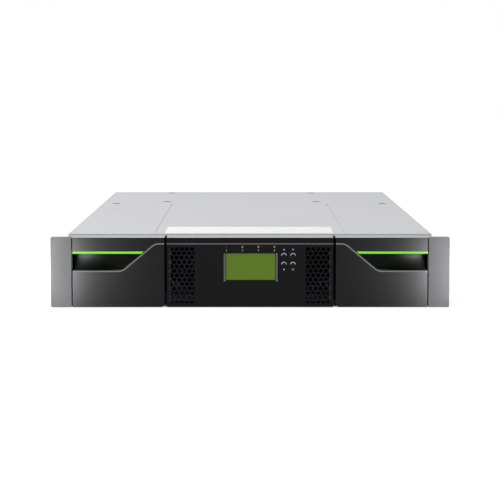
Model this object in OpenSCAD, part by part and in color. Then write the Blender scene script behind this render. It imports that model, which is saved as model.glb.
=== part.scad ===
// Rack-mounted data tape library, two rack units high.
// X runs to the right, Y from front to back and Z up. The origin is the middle
// of the chassis floor's front edge, on the plane where the rack ears meet the rack.

/* [Tape cartridge] */
// Length of a cartridge, the way it goes into a slot
cart_l = 105.4; // [104:0.2:107]
// Width of a cartridge
cart_w = 102; // [100:0.5:104]
// Thickness of a cartridge
cart_t = 21.5; // [20.5:0.25:22.5]

/* [Magazines] */
// Slots along a magazine
columns = 4; // [3:1:4]
// Room beside a cartridge in its slot
slot_side_room = 1.5; // [1:0.25:3]
// Room above a cartridge in its slot
slot_top_room = 0.9; // [0.6:0.1:1.5]
// Room behind a cartridge in its slot
slot_end_room = 2.1; // [1:0.1:4]
// Thickness of a slot shelf
shelf_t = 1.2; // [1:0.1:1.6]
// Thickness of an upright between two columns
divider_t = 3; // [2:0.25:4]
// Thickness of a magazine's outer wall
mag_wall = 1.5; // [1.2:0.1:2]
// Height of the runners under the lowest shelf
runner_h = 5.1; // [4.5:0.1:6]
// Width of a runner
runner_w = 3; // [2:0.5:5]
// Front face to first slot, for the handle moulding
handle_depth = 54; // [50:1:64]

/* [Robot channel] */
// Width between the two magazines' slot mouths
channel_w = 211; // [209:0.5:215]
// Gap from the extended picker to a slot mouth
picker_gap = 1.5; // [1:0.25:2.5]
// Length of the picker tray
picker_l = 113; // [112:0.5:114]
// Wall of the picker tray
picker_wall = 1.2; // [1:0.1:1.4]
// Thickness of the carriage plate
carriage_t = 1.5; // [1.2:0.1:1.8]
// Thickness of the turntable gear
gear_t = 2; // [1.6:0.1:2.2]
// Teeth on the turntable gear
turn_teeth = 168; // [160:8:168]
// Teeth on the turntable's drive pinion
turn_pinion_teeth = 20; // [16:4:20]
// Teeth on the pinion that runs on the rack
travel_pinion_teeth = 16; // [15:1:18]
// Diameter of the picker's guide rods
rod_d = 4; // [3:0.25:4.5]
// Diameter of the lift screw
screw_d = 5; // [4:0.25:5.5]
// Diameter of the turntable's hub
hub_d = 30; // [24:1:40]
// Diameter of the carriage's two motors
motor_d = 20; // [16:1:21]
// Height of the carriage's two motors
motor_h = 24; // [18:1:30]

/* [Tape drives] */
// Length of a tape drive
drive_l = 205; // [195:1:215]
// Width of a tape drive
drive_w = 146; // [144:0.5:148]
// Height of a tape drive
drive_h = 41; // [40.4:0.1:41.2]
// Space behind the drives for plugs and air
rear_room = 34.25; // [30:0.25:45]

/* [Sheet metal] */
// Thickness of the chassis sheet
sheet = 1.2; // [1:0.1:1.4]
// Air between a magazine and the chassis side
side_gap = 6; // [5:0.25:8]
// Height of the top cover's side skirts
skirt_h = 12; // [8:0.5:18]
// Free height over the magazines
head_room = 3.9; // [3.5:0.1:5]
// Step from the front lintel up to the cover's top
cover_step = 1.6; // [1.4:0.1:2]
// Setback of the top cover behind the rack plane
cover_setback = 23; // [18:0.5:28]

/* [Front panel] */
// How far the front stands out of the rack
front_depth = 10; // [9:0.5:12]
// Thickness of the moulded front plates
front_t = 2; // [1.6:0.1:2.4]
// Gap between neighbouring front plates
seam = 3; // [2:0.25:4]
// Slot mouth to the centre panel's edge, covered by the magazine's front
centre_in = 4.8; // [4:0.2:6.5]
// Height of the front plates
front_h = 84.2; // [82:0.2:84.4]
// Height of the front plates above the floor of the chassis
front_lift = 1; // [0.5:0.1:1.5]
// Width of a trim line
trim_w = 1.6; // [1.2:0.1:2.2]
// Height of a light bar
light_bar_h = 2.7; // [2:0.1:3.5]
// Depth of the finger scoop at its outer end
scoop_depth = 16; // [12:0.5:18]
// Width of the display glass
display_w = 59.6; // [52:0.2:64]
// Height of the display glass
display_h = 32.4; // [28:0.2:34]
// Diameter of a key
key_d = 8.4; // [7:0.1:8.8]
// Travel of a key
key_travel = 0.8; // [0.5:0.1:1]
// Pitch of the ventilation holes
vent_pitch = 6.2; // [5.8:0.1:7]
// Web between two ventilation holes
vent_web = 1.5; // [1.2:0.1:2]

/* [Rack mounting] */
// Width of an ear, which brings the front to a rack's 482.6
ear_w = 25; // [24:0.1:26]
// Ear's outer edge to its holes, which brings them to a rack's 465.1 apart
ear_hole_in = 8.75; // [8.5:0.05:9]
// Distance up between the rack holes
rack_hole_h = 44.45; // [44.4:0.05:44.5]
// Length of a rack bracket along the chassis side
bracket_l = 60; // [40:1:90]
// Diameter of the rack holes
rack_hole_d = 6.8; // [6.2:0.1:7.2]
// Diameter of the side holes for slide rails
rail_hole_d = 4.2; // [3.6:0.1:5.2]
// Distance along between the side holes
rail_hole_pitch = 500; // [400:10:540]
// Distance up between the side holes
rail_hole_h = 30; // [20:1:40]

/* [Rear modules] */
// Room on each side of the power supply, under its flanges
supply_side = 9.45; // [8.5:0.05:12]
// Length of the power supply
supply_l = 186; // [150:2:200]
// Size of the square cooling fan
fan_size = 38; // [36:0.5:39]
// Length of the controller board
board_l = 169; // [150:1:180]
// Thickness of the circuit boards
board_t = 1.6; // [1.2:0.1:2]

/* [Hidden] */
$fn = 48;

// Clearances
slide = 0.3;    // between pieces that slide past each other
seat = 0.1;     // between pieces that sit in each other
run = 0.05;     // radial, between a shaft and its bore

// Slots, three tiers high in two rack units
tiers = 3;
slot_w = cart_w + slot_side_room;
slot_h = cart_t + slot_top_room;
slot_l = cart_l + slot_end_room;
pitch_y = slot_w + divider_t;
pitch_z = slot_h + shelf_t;
guide_h = 1.8;
mag_z = sheet + guide_h + slide;
shelf_z = mag_z + runner_h;
slot_z = shelf_z + shelf_t;
mag_top = shelf_z + tiers * pitch_z + shelf_t;
mouth_x = channel_w / 2;
mag_out = mouth_x + slot_l + mag_wall;
front_y = -front_depth;
slot_y = front_y + handle_depth;
mag_end = slot_y + columns * pitch_y;
guide_y = slot_y - 2.5;
latch_x = mag_out + side_gap / 2 + 0.3;
latch_y = mag_end - 52;

// Chassis
tray_in = mag_out + side_gap;
tray_out = tray_in + sheet;
cover_out = tray_out + seat + sheet;
lintel_z = mag_top + head_room;
chassis_h = lintel_z + sheet + cover_step;
tray_h = chassis_h - sheet;

// Robot, turning about a post at x = 0, y = robot_y
tooth_module = 1;
first_stop = slot_y + slot_w / 2;
last_stop = first_stop + (columns - 1) * pitch_y;
robot_y = (first_stop + last_stop) / 2;
reach = mouth_x - picker_l / 2 - picker_gap;
carriage_z = sheet + 2;
turntable_z = carriage_z + carriage_t + 0.5;
tray_z = turntable_z + gear_t + 0.5;
picker_in = cart_w + 1.2;
picker_x = picker_in / 2 + picker_wall;
picker_h = cart_t + 2.5;
carriage_w = channel_w - 23;
shoe_y = 67.5;
carriage_l = 2 * shoe_y + 35;
turn_r = turn_teeth * tooth_module / 2;
turn_pinion_r = turn_pinion_teeth * tooth_module / 2;
travel_pinion_r = travel_pinion_teeth * tooth_module / 2;
turn_motor_at = (turn_r + turn_pinion_r) / sqrt(2);
rack_pitch_x = mouth_x - 9.5;
travel_motor_x = rack_pitch_x - travel_pinion_r;
travel_motor_y = shoe_y + 3.5;
rail_x = mouth_x - 7.5;
rod_x = picker_x + 5.7;
lift_motor_h = 15;
rod_y = 24;
post_top = mag_top + 1.7;

// Drives and rear wall
drive_y = last_stop + picker_l / 2 + reach + picker_gap;
chassis_d = drive_y + drive_l + rear_room;
drive_z = [sheet + 1.2, sheet + 1.4 + drive_h];
mouth_z = 7.1;
mouth_h = cart_t + 4;
mouth_w = cart_w + 2.6;
mouth_depth = 110;
door_pin_r = 0.8;
sled_x = drive_w / 2 + 1.2;
face_y = chassis_d + sheet;

// Front panel
front_z = front_lift;
front_top = front_z + front_h;
centre_x = mouth_x - centre_in;
centre_w = 2 * centre_x;
mag_front_in = centre_x + seam;
ear_in = tray_in - 4.2;
ear_gap = 1.6;
mag_front_out = ear_in - ear_gap;
rack_w = 2 * (ear_in + ear_w);
rack_hole_x = rack_w / 2 - ear_hole_in;
rack_mid_z = chassis_h / 2 + 0.5;
lintel_y = front_y + front_t + 0.2;
body_in = mag_front_in + 1.5;
body_out = mag_front_out - 1.1;
body_z = mag_z;
body_top = lintel_z - 1.6;
trim_low = front_top - 40.6;
trim_high = front_top - 7.1;
trim_t = 1.2;
bar_top = front_top - 16.5;
bar_bottom = bar_top - light_bar_h;
bar_t = 6;
slope_angle = 40;
knee_x = 64;
scoop_r = 24;
scoop_tilt = 7;
key_at = [41, 63.6];
key_pitch = [10.9, 10.7];
display_at = [0.7, 50.2];
light_z = 74.4;
light_x = [-28.6, -9.3, 10, 29.3];
vent_at = centre_x - 18.2;
vent_size = [30.6, 68];
vent_z = 39.8;
board_y = front_y + front_t + 5;
cheek_y = front_y + 25.4;
rail_y = cheek_y + 2;

// Rear modules
wall_left = -127;
wall_right = 102.5;
flange_w = 6;
screw_r = 1.5;
supply_x = (wall_left + flange_w - sheet / 2 - tray_in) / 2;
supply_w = tray_in + wall_left + flange_w - sheet / 2 - 2 * supply_side;
supply_y = chassis_d - supply_l;
supply_z = 2 * sheet;
supply_h = lintel_z - supply_z - 2;
fan_x = wall_left + flange_w + sheet / 2 + 1 + fan_size / 2;
fan_t = 28;
inlet_x = supply_x + supply_w / 4;
inlet_z = 24;
switch_dx = -26;
switch_tilt = 8;
fan_z = 24;
board_z = 9;
network_x = wall_right + 30;
usb_x = wall_right + 58;
bulkhead_y = drive_y - 9;
cover_hole_x = tray_in - 18.5;
crease_x = centre_x + 16.1;
cover_holes = [[-cover_hole_x, bulkhead_y], [cover_hole_x, bulkhead_y],
    [wall_left, bulkhead_y + 39], [wall_right, bulkhead_y + 39],
    [wall_left, chassis_d - 22], [wall_right, chassis_d - 22]];
thumb_at = [[-sled_x - 4.3, 40], [sled_x + 4.3, 40],
    [supply_x - supply_w / 2 - 3.6, 40], [supply_x + supply_w / 2 + 3.6, 40],
    [wall_right + 14, board_z + 29.5], [tray_in - 15, board_z + 29.5]];

// ---- General shapes ----

// A box from one corner to the opposite one
module span(a, b) {
    translate(a) cube(b - a);
}

// A shape that lies flat in X and Z, made thick from y0 to y1
module wall(y0, y1) {
    translate([0, y1, 0]) rotate([90, 0, 0]) linear_extrude(y1 - y0) children();
}

// A shape and its mirror image in the plane x = 0
module both_sides() {
    children();
    mirror([1, 0, 0]) children();
}

module rounded(size, r) {
    translate([r, r]) offset(r = r, $fn = 24) square(size - [2 * r, 2 * r]);
}

// A pin or hole along Y
module along_y(r, y0, y1) {
    translate([0, y1, 0]) rotate([90, 0, 0]) cylinder(r = r, h = y1 - y0);
}

// A pin or hole along X
module along_x(r, x0, x1) {
    translate([x0, 0, 0]) rotate([0, 90, 0]) cylinder(r = r, h = x1 - x0);
}

// Roll angle of an involute, in degrees, at radius r over the base circle rb
function roll(r, rb) = r <= rb ? 0 : sqrt(pow(r / rb, 2) - 1) * 180 / PI - acos(rb / r);

// Half the angle that a tooth fills at radius r
function half_tooth(teeth, r, pitch_r, slack) =
    90 / teeth + roll(pitch_r, pitch_r * cos(20)) - roll(r, pitch_r * cos(20))
    - slack / pitch_r * 90 / PI;

function flank(teeth, m, slack) = [for (k = [0:3])
    let (p = teeth * m / 2, r = p - 1.15 * m + k * 2.05 * m / 3)
    [r, half_tooth(teeth, r, p, slack)]];

// Outline of a spur gear with one tooth on the X axis
function gear_outline(teeth, m, slack) =
    let (f = flank(teeth, m, slack), n = len(f))
    [for (t = [0:teeth - 1], k = [0:2 * n - 1])
        let (i = k < n ? k : 2 * n - 1 - k, side = k < n ? -1 : 1,
            a = t * 360 / teeth + side * f[i][1])
        f[i][0] * [cos(a), sin(a)]];

module gear(teeth, h, slack) {
    linear_extrude(h) polygon(gear_outline(teeth, tooth_module, slack));
}

// ---- Chassis ----

module chassis_tray() {
    color("silver") difference() {
        union() {
            span([-tray_out, 0, 0], [tray_out, chassis_d, sheet]);
            both_sides() {
                span([tray_in, 0, 0], [tray_out, chassis_d, tray_h]);
                span([tray_in - 9, cover_setback + 7, tray_h - sheet],
                    [tray_in + sheet / 2, chassis_d - sheet - 1, tray_h]);
            }
        }
        rail_holes();
        both_sides() side_vents();
    }
}

// Holes for slide rails, two high at each end of both sides
module rail_holes() {
    for (s = [-1, 1], y = [-1, 1], z = [-1, 1])
        translate([0, chassis_d / 2 + y * rail_hole_pitch / 2,
            chassis_h / 2 + z * rail_hole_h / 2])
            along_x(rail_hole_d / 2, s > 0 ? tray_in - 1 : -tray_out - 1,
                s > 0 ? tray_out + 1 : -tray_in + 1);
}

// Upright air slots in a chassis side, beside the rear modules
module side_vents() {
    for (k = [0:7])
        span([tray_in - 1, chassis_d - 100 + k * 10, 26],
            [tray_out + 1, chassis_d - 96 + k * 10, 60]);
}

module front_frame() {
    color([0.62, 0.62, 0.63]) difference() {
        union() {
            span([-tray_in, 0, lintel_z],
                [tray_in, cover_setback + 6, lintel_z + sheet]);
            span([-ear_in + 0.2, lintel_y, lintel_z],
                [ear_in - 0.2, sheet, lintel_z + sheet]);
            both_sides() {
                span([ear_in - 0.3, 0, sheet], [tray_in, sheet, lintel_z + sheet / 2]);
                span([tray_in - sheet, 0, sheet],
                    [tray_in, cover_setback, lintel_z + sheet / 2]);
                span([centre_x - 2.1 - sheet, cheek_y - 7, sheet],
                    [centre_x - 2.1, cheek_y + 0.6, lintel_z + sheet / 2]);
            }
        }
        both_sides() span([centre_x, lintel_y - 1, lintel_z - 1],
            [centre_x + seam, cover_setback - 3, lintel_z + 2 * sheet]);
    }
}

module top_cover() {
    color([0.8, 0.8, 0.8]) difference() {
        union() {
            span([-cover_out, cover_setback, chassis_h - sheet],
                [cover_out, chassis_d, chassis_h]);
            span([-tray_in, cover_setback, lintel_z + sheet],
                [tray_in, cover_setback + sheet, chassis_h - sheet / 2]);
            both_sides() span([cover_out - sheet, cover_setback, chassis_h - skirt_h],
                [cover_out, chassis_d, chassis_h - sheet / 2]);
        }
        for (p = cover_holes) translate([p[0], p[1], chassis_h - 0.8]) {
            cylinder(r1 = 5.2, r2 = 7, h = 1);
            translate([0, 0, -3]) cylinder(r = screw_r + 0.2, h = 4);
        }
        both_sides() {
            span([crease_x - 0.8, cover_setback + 12, chassis_h - 0.5],
                [crease_x + 0.8, bulkhead_y - 24, chassis_h + 1]);
            translate([crease_x, bulkhead_y - 22, chassis_h - 2]) cylinder(r = 2, h = 4);
        }
    }
}

// Pan-head screws, one in each dimple of the cover
module cover_screws() {
    color([0.5, 0.5, 0.52])
    for (p = cover_holes) translate([p[0], p[1], chassis_h - 0.8]) difference() {
        union() {
            cylinder(r = 2.9, h = 0.7);
            translate([0, 0, -6]) cylinder(r = screw_r, h = 6.2);
        }
        for (a = [0, 90]) rotate([0, 0, a])
            span([-1.6, -0.3, 0.3], [1.6, 0.3, 1]);
    }
}

// Lengthwise walls beside the drive bay and cross walls behind the magazines
module partitions() {
    color([0.72, 0.73, 0.74]) {
        translate([wall_right, 0, 0]) bay_wall();
        translate([wall_left, 0, 0]) mirror([1, 0, 0]) bay_wall();
        bulkhead(wall_right - flange_w, tray_in - 9.2, cover_hole_x);
        bulkhead(-tray_in + 9.2, wall_left + flange_w, -cover_hole_x);
    }
}

// A wall with a flange at its top and foot; x = 0 is the middle of the flanges
module bay_wall() {
    difference() {
        union() {
            span([-flange_w - sheet / 2, bulkhead_y + 6, sheet],
                [-flange_w + sheet / 2, chassis_d - sheet, tray_h - seat]);
            for (z = [sheet, tray_h - sheet - seat])
                span([-flange_w, bulkhead_y + 12, z],
                    [flange_w, chassis_d - sheet - 2, z + sheet]);
        }
        for (y = [bulkhead_y + 39, chassis_d - 22]) translate([0, y, tray_h - 8])
            cylinder(r = screw_r + run, h = 12);
    }
}

module bulkhead(x0, x1, screw_x) {
    difference() {
        union() {
            span([x0, bulkhead_y + 8, sheet], [x1, bulkhead_y + 8 + sheet, tray_h - seat]);
            span([x0, bulkhead_y - 8, tray_h - sheet - seat],
                [x1, bulkhead_y + 8 + sheet, tray_h - seat]);
            span([x0, bulkhead_y - 4, sheet], [x1, bulkhead_y + 8 + sheet, 2 * sheet]);
        }
        translate([screw_x, bulkhead_y, tray_h - 8]) cylinder(r = screw_r + run, h = 12);
        span([x0 + 14, bulkhead_y, 20], [x1 - 14, bulkhead_y + 12, tray_h - 20]);
    }
}

module rear_panel() {
    vent_step = (tray_in - wall_right - 15.4) / 9;
    color([0.75, 0.76, 0.77]) difference() {
        span([-tray_in, chassis_d - sheet, sheet], [tray_in, chassis_d, tray_h - sheet]);
        span([-sled_x - 1.5, chassis_d - 5, sheet - 1],
            [sled_x + 1.5, chassis_d + 5, lintel_z - 2]);
        span([supply_x - supply_w / 2 - 0.5, chassis_d - 5, supply_z - 0.5],
            [supply_x + supply_w / 2 + 0.5, chassis_d + 5, supply_z + supply_h + 0.5]);
        span([wall_right + 6, chassis_d - 5, board_z - 4],
            [tray_in - 7, chassis_d + 5, board_z + 26]);
        translate([fan_x, 0, fan_z]) fan_guard_holes();
        for (k = [0:8], row = [0, 1])
            span([wall_right + 8 + k * vent_step, chassis_d - 5, 46 + row * 18],
                [wall_right + 15 + k * vent_step, chassis_d + 5, 59 + row * 18]);
        thumbscrew_holes();
    }
}

// Ring-shaped gaps, cut by four spokes, in front of the fan
module fan_guard_holes() {
    wall(chassis_d - 5, chassis_d + 5) difference() {
        union() for (r = [7:4:fan_size / 2 - 3]) difference() {
            circle(r = r + 2.6);
            circle(r = r);
        }
        for (a = [45, 135]) rotate(a) square([fan_size * 2, 2], center = true);
    }
}

// ---- Rack ears ----

module rack_brackets() {
    color([0.7, 0.7, 0.72]) both_sides() difference() {
        union() {
            span([ear_in + 2.2, -2, front_z + 7], [rack_w / 2 - 2.2, 0, front_top - 5.2]);
            span([tray_out, -1, front_z + 9],
                [tray_out + 1.3, bracket_l, chassis_h - skirt_h - 3]);
        }
        for (z = [-1, 1])
            translate([rack_hole_x, 0, rack_mid_z + z * rack_hole_h / 2])
                along_y(rack_hole_d / 2, -3, 1);
    }
}

// A hollow moulded cover that snaps over the right-hand rack bracket
module ear() {
    color([0.6, 0.6, 0.61]) difference() {
        wall(front_y, 0) translate([ear_in, front_z])
            rounded([rack_w / 2 - ear_in, front_h + 1], 1.2);
        span([ear_in + 2, front_y + front_t, front_z + 2],
            [rack_w / 2 - 2, 1, front_top - 1]);
    }
    color([0.6, 0.6, 0.61]) for (z = [-8, 8])
        translate([rack_hole_x, 0, rack_mid_z + z]) along_y(3, front_y + 1, -2);
}

// ---- Centre panel ----

module vent_holes() {
    r = (vent_pitch - vent_web) / sqrt(3);
    row = vent_pitch * sqrt(3) / 2;
    intersection() {
        square(vent_size, center = true);
        for (j = [-6:6], i = [-3:3]) if (j % 2 == 0 || i < 3)
            translate([(i + (j % 2 == 0 ? 0 : 0.5)) * vent_pitch, j * row])
                rotate(90) circle(r = r, $fn = 6);
    }
}

module key_positions() {
    for (i = [0, 1], j = [0, 1])
        translate([key_at[0] + i * key_pitch[0], key_at[1] - j * key_pitch[1]])
            children();
}

module centre_bezel() {
    color([0.12, 0.12, 0.13]) difference() {
        union() {
            wall(front_y, front_y + front_t) difference() {
                translate([-centre_x, front_z]) rounded([centre_w, front_h], 0.8);
                both_sides() translate([vent_at, vent_z]) vent_holes();
                translate(display_at)
                    square([display_w + 7, display_h + 2], center = true);
                key_positions() circle(d = key_d + 2 * slide);
            }
            bezel_walls();
            for (x = [-44, 61], z = [26, 77])
                translate([x, 0, z]) along_y(3, front_y + 1, board_y);
        }
        centre_groove();
        for (x = light_x) translate([x, 0, light_z])
            along_y(1.2, front_y - 1, front_y + front_t + 1);
    }
}

// The rim behind the centre panel's plate, with cheeks that reach the frame
module bezel_walls() {
    back = cheek_y - 7.2;
    both_sides() span([centre_x - 2, front_y + 1, body_z],
        [centre_x, cheek_y, body_top]);
    span([-centre_x, front_y + 1, body_top - 2], [centre_x, back, body_top]);
    span([-centre_x, front_y + 1, body_z], [centre_x, back, body_z + 2]);
    both_sides() span([centre_x - 2, front_y + 1, sheet], [centre_x, back, body_z + 1]);
    both_sides() span([centre_x - 2, front_y + 1, body_top - 1],
        [centre_x, back - 2, lintel_z]);
}

module centre_groove() {
    span([-centre_x - 1, front_y - 1, trim_high - trim_w / 2],
        [centre_x + 1, front_y + trim_t - 0.3, trim_high + trim_w / 2]);
}

module centre_trim() {
    color([0.4, 0.4, 0.42]) span([-centre_x, front_y - 0.3, trim_high - trim_w / 2],
        [centre_x, front_y + trim_t - 0.3, trim_high + trim_w / 2]);
}

module display_frame() {
    color([0.35, 0.35, 0.38]) wall(front_y + 0.2, board_y) translate(display_at)
        difference() {
            square([display_w + 7 - 2 * seat, display_h + 2 - 2 * seat], center = true);
            square([display_w, display_h], center = true);
        }
}

module display_glass() {
    color([0.38, 0.5, 0.18]) translate([display_at[0], 0, display_at[1]])
        span([-display_w / 2 + seat, front_y + 0.9, -display_h / 2 + seat],
            [display_w / 2 - seat, board_y, display_h / 2 - seat]);
}

module status_lights() {
    color([0.6, 0.65, 0.2]) for (x = light_x) translate([x, 0, light_z])
        along_y(1.1, front_y - 0.2, board_y);
}

module panel_board() {
    color([0.1, 0.3, 0.15]) {
        span([display_at[0] - display_w / 2 - 19, board_y, front_z + 21],
            [key_at[0] + key_pitch[0] + 13, board_y + board_t, front_top - 5.2]);
        key_positions_3d() span([-2.2, board_y - 1.6, -2.2], [2.2, board_y + 0.2, 2.2]);
    }
}

module key_positions_3d() {
    for (i = [0, 1], j = [0, 1])
        translate([key_at[0] + i * key_pitch[0], 0, key_at[1] - j * key_pitch[1]])
            children();
}

// A push key: its cap, and the flange that stops it falling out of the panel
module key(column, row) {
    back = board_y - 1.8 - key_travel;
    color([0.16, 0.16, 0.17]) translate([key_at[0] + column * key_pitch[0], 0,
        key_at[1] - row * key_pitch[1]]) {
        along_y(key_d / 2, front_y - 0.5, back);
        along_y(key_d / 2 + 0.8, front_y + front_t + slide, back);
    }
}

// ---- Magazines, drawn for the right-hand side ----

// Width of the trim line's slope
function slope_x() = (trim_high - trim_low) / tan(slope_angle);

// Points along the trim line's middle, with a round bend at each end of the slope
function trim_path() =
    let (x0 = mag_front_out - knee_x + 4, x1 = x0 - slope_x(), r = 14,
        t = r * tan(slope_angle / 2))
    concat([[mag_front_out, trim_low]],
        [for (k = [0:6]) let (a = k * slope_angle / 6)
            [x0 + t - r * sin(a), trim_low + r * (1 - cos(a))]],
        [for (k = [0:6]) let (a = slope_angle * (1 - k / 6))
            [x1 - t + r * sin(a), trim_high - r * (1 - cos(a))]],
        [[mag_front_in, trim_high]]);

function unit(v) = v / norm(v);

// A path moved sideways by d
function beside(path, d) = [for (i = [0:len(path) - 1])
    let (a = unit(path[min(i + 1, len(path) - 1)] - path[max(i - 1, 0)]))
    path[i] + d * [-a[1], a[0]]];

function reversed(list) = [for (i = [len(list) - 1:-1:0]) list[i]];

module trim_band(extra) {
    p = trim_path();
    polygon(concat(beside(p, trim_w / 2 + extra), reversed(beside(p, -trim_w / 2 - extra))));
}

module magazine_trim() {
    color([0.6, 0.6, 0.62]) wall(front_y - 0.3, front_y + trim_t - 0.3) trim_band(0);
}

// Distance inwards at which the slope crosses height z
function slope_at(z) = mag_front_out - knee_x + 4 - (z - trim_low) / tan(slope_angle);

module light_bar_outline(extra) {
    polygon([[mag_front_out + extra, bar_bottom - extra], [mag_front_out + extra, bar_top + extra],
        [slope_at(bar_top) + 2.6 - extra, bar_top + extra],
        [slope_at(bar_bottom) + 2.6 - extra, bar_bottom - extra]]);
}

module light_bar() {
    color([0.5, 0.9, 0.2]) wall(front_y - 0.2, front_y + bar_t) intersection() {
        light_bar_outline(0);
        square([mag_front_out, front_top]);
    }
}

// The finger scoop: a leaning round hollow, kept between the light bar and the trim line
module scoop() {
    low = trim_low + trim_w / 2 + 0.4;
    intersection() {
        wall(front_y - 5, front_y + 30) polygon([[mag_front_out + 1, low],
            [mag_front_out + 1, bar_bottom], [slope_at(bar_bottom) + 2.6, bar_bottom],
            [slope_at(low) + 2.6, low]]);
        translate([mag_front_out, front_y + scoop_depth - scoop_r, bar_bottom])
            rotate([0, 0, scoop_tilt]) along_x(scoop_r, -100, 20);
    }
}

module magazine_front() {
    color([0.13, 0.13, 0.14]) difference() {
        union() {
            wall(front_y, front_y + front_t) polygon([[mag_front_in + 3.5, front_z],
                [mag_front_out, front_z], [mag_front_out, front_top],
                [mag_front_in, front_top], [mag_front_in, front_z + 3.5]]);
            difference() {
                span([body_in, front_y + 1, body_z], [body_out, slot_y - 3, body_top]);
                span([body_in + 2, front_y + front_t, body_z + 2],
                    [body_out - 2, slot_y, body_top - 2]);
            }
            span([slope_at(bar_top) - 2, front_y + 1, trim_low - 2],
                [body_out - 1, front_y + scoop_depth + 2, bar_top + 2]);
        }
        scoop();
        wall(front_y - 1, front_y + trim_t - 0.3) trim_band(0.02);
        wall(front_y - 1, front_y + bar_t) light_bar_outline(0.02);
    }
}

module magazine_shell() {
    color([0.2, 0.2, 0.21]) difference() {
        union() {
            span([mouth_x, slot_y - 3, shelf_z], [mag_out, mag_end, slot_z]);
            span([mouth_x, slot_y - 3, mag_top - shelf_t], [mag_out, mag_end, mag_top]);
            span([mag_out - mag_wall, slot_y - 3, mag_z], [mag_out, mag_end, mag_top]);
            for (y = [slot_y, mag_end])
                span([mouth_x, y - divider_t, mag_z], [mag_out, y, mag_top]);
            span([mouth_x + 2, slot_y - 1, mag_z],
                [mouth_x + 2 + runner_w, mag_end - 1, shelf_z + shelf_t / 2]);
        }
        span([mouth_x - 1, slot_y - divider_t - 1, mag_z - 1],
            [mouth_x + 2, mag_end + 1, mag_z + 2 + slide]);
        span([mag_out - mag_wall - 1, latch_y + 17, mag_z - 1],
            [mag_out + 1, latch_y + 27, mag_z + 4.6]);
    }
}

// Uprights between the columns and shelves between the tiers, set in grooves
module slot_walls() {
    back = mag_out - mag_wall - seat;
    color([0.3, 0.3, 0.31]) {
        for (c = [1:columns - 1]) translate([0, slot_y + c * pitch_y - divider_t, 0])
            span([mouth_x, 0, slot_z], [back, divider_t, mag_top - shelf_t]);
        for (c = [0:columns - 1], t = [1:tiers - 1])
            translate([0, slot_y + c * pitch_y, slot_z + t * pitch_z - shelf_t])
                shelf(back);
    }
}

module shelf(back) {
    linear_extrude(shelf_t) difference() {
        translate([mouth_x, seat]) square([back - mouth_x, slot_w - 2 * seat]);
        translate([mouth_x, slot_w / 2]) polygon([[-1, -24], [9, -16], [9, 16], [-1, 24]]);
    }
}

// Strips on the chassis floor that carry and steer both magazines, and the latch posts
module magazine_guides() {
    color([0.55, 0.56, 0.58]) both_sides() {
        span([mouth_x + 1 - slide, guide_y, sheet],
            [mouth_x + 3 + runner_w, mag_end + 6, sheet + guide_h]);
        span([mouth_x + 1 - slide, guide_y, sheet],
            [mouth_x + 2 - slide, mag_end + 6, mag_z + 2]);
        span([mag_out - 3, guide_y, sheet],
            [mag_out + slide + 1, mag_end - 60, sheet + guide_h]);
        span([mag_out + slide, guide_y, sheet],
            [mag_out + slide + 1, mag_end - 60, mag_z + 3]);
        span([mag_out - 3, mag_end - 12, sheet],
            [mag_out + slide + 1, mag_end + 6, sheet + guide_h]);
        latch_post();
    }
}

module latch_post() {
    translate([latch_x, latch_y, 0]) {
        translate([0, 0, sheet]) cylinder(r = 2.4, h = guide_h);
        translate([0, 0, sheet + guide_h - 0.5]) cylinder(r = 1.2, h = 5.2);
    }
}

// A lever beside the magazine; its nose turns in to lock the magazine
module latch() {
    color([0.75, 0.6, 0.25]) translate([latch_x, latch_y, sheet + guide_h + 0.1])
        difference() {
            linear_extrude(3) union() {
                circle(r = 2.4);
                translate([-0.9, 0]) square([1.8, 25]);
                translate([-2.1, 19]) polygon([[0, 0], [3, 0], [3, 6], [0, 3.4]]);
            }
            translate([0, 0, -1]) cylinder(r = 1.25, h = 6);
        }
}

// ---- Robot, drawn about its own turning axis ----

module robot_rail() {
    color([0.78, 0.79, 0.8]) span([-rail_x - 1.5, rail_y, sheet],
        [-rail_x + 1.5, bulkhead_y - 14, sheet + 5]);
}

// A toothed rail: its teeth face the middle of the channel
module robot_rack() {
    p = PI * tooth_module;
    y1 = bulkhead_y - 14;
    mesh_y = robot_y + travel_motor_y;
    low = ceil((rail_y + 2 - mesh_y) / p);
    high = floor((y1 - 2 - mesh_y) / p) - 1;
    color([0.3, 0.3, 0.32])
        translate([0, 0, sheet]) linear_extrude(6) polygon(concat(
            [[rack_pitch_x + 4, rail_y], [rack_pitch_x + 4, y1], [rack_pitch_x + 1.25, y1]],
            [for (k = [high:-1:low], c = [[1.25, 1.12], [-0.9, 0.4], [-0.9, -0.4], [1.25, -1.12]])
                [rack_pitch_x + c[0] * tooth_module, mesh_y + (k + 0.5) * p + c[1] * tooth_module]],
            [[rack_pitch_x + 1.25, rail_y]]));
}

module robot_carriage() {
    color([0.7, 0.71, 0.73]) translate([0, robot_y, carriage_z]) difference() {
        union() {
            span([-carriage_w / 2, -carriage_l / 2, 0],
                [carriage_w / 2, carriage_l / 2, carriage_t]);
            cylinder(d = hub_d, h = turntable_z + gear_t + 0.2 - carriage_z);
            for (y = [-shoe_y, shoe_y]) translate([-rail_x, y, 0]) shoe(sheet + 5);
            translate([rail_x, -shoe_y, 0]) shoe(sheet + 6);
        }
        for (y = [-shoe_y, shoe_y]) translate([-rail_x, y, 0]) shoe_groove(3, sheet + 5);
        translate([rail_x, -shoe_y, 0]) shoe_groove(6.4, sheet + 6);
        translate([0, 0, -1]) cylinder(d = hub_d - 14, h = 20);
        for (a = [0:60:300]) rotate([0, 0, a + 30])
            translate([(carriage_l + hub_d) / 4 - 2, 0, -1])
                cylinder(r = 13, h = carriage_t + 2);
    }
}

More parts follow.
